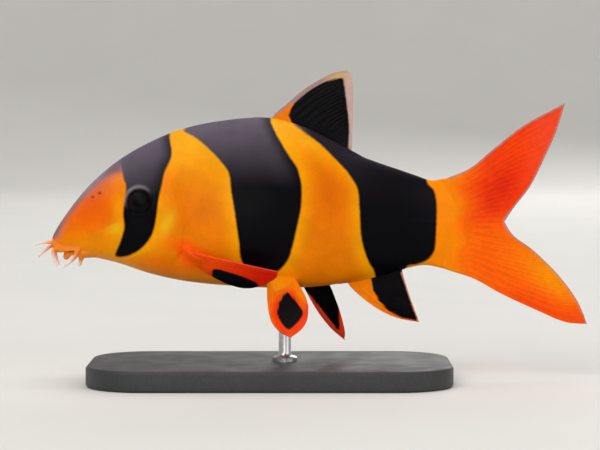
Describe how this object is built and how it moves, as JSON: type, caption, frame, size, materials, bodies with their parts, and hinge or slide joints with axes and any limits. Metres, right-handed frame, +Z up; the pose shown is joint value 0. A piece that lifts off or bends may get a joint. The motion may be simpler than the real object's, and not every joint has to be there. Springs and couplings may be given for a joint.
{
  "type": "clown loach display model",
  "caption": "Life-size model of a clown loach, orange with broad black bands, swimming level with nose low, held by a short rod on a flat base.",
  "frame": {"origin": "centre of the underside of the stand's base", "axes": "+Z up, the fish's snout points to -X and its left side faces -Y"},
  "size_m": [0.1339, 0.046, 0.0758],
  "materials": {
    "skin": "gloss",
    "fin": "gloss",
    "eye": "polished",
    "barbel": "satin",
    "stand_base": "satin",
    "stand_rod": "satin"
  },
  "bodies": {
    "root": {"head": "skin", "trunk": "skin", "tail_stalk": "skin", "eye_left": "eye", "eye_right": "eye", "fin_dorsal": "fin", "fin_anal": "fin", "fin_tail_upper": "fin", "fin_tail_lower": "fin", "fin_pectoral_left": "fin", "fin_pectoral_right": "fin", "fin_pelvic_left": "fin", "fin_pelvic_right": "fin", "barbel_rostral_inner_left": "barbel", "barbel_rostral_inner_right": "barbel", "barbel_rostral_outer_left": "barbel", "barbel_rostral_outer_right": "barbel", "barbel_maxillary_left": "barbel", "barbel_maxillary_right": "barbel", "barbel_mandibular_left": "barbel", "barbel_mandibular_right": "barbel", "stand_base": "stand_base", "stand_rod": "stand_rod"}
  },
  "joints": []
}
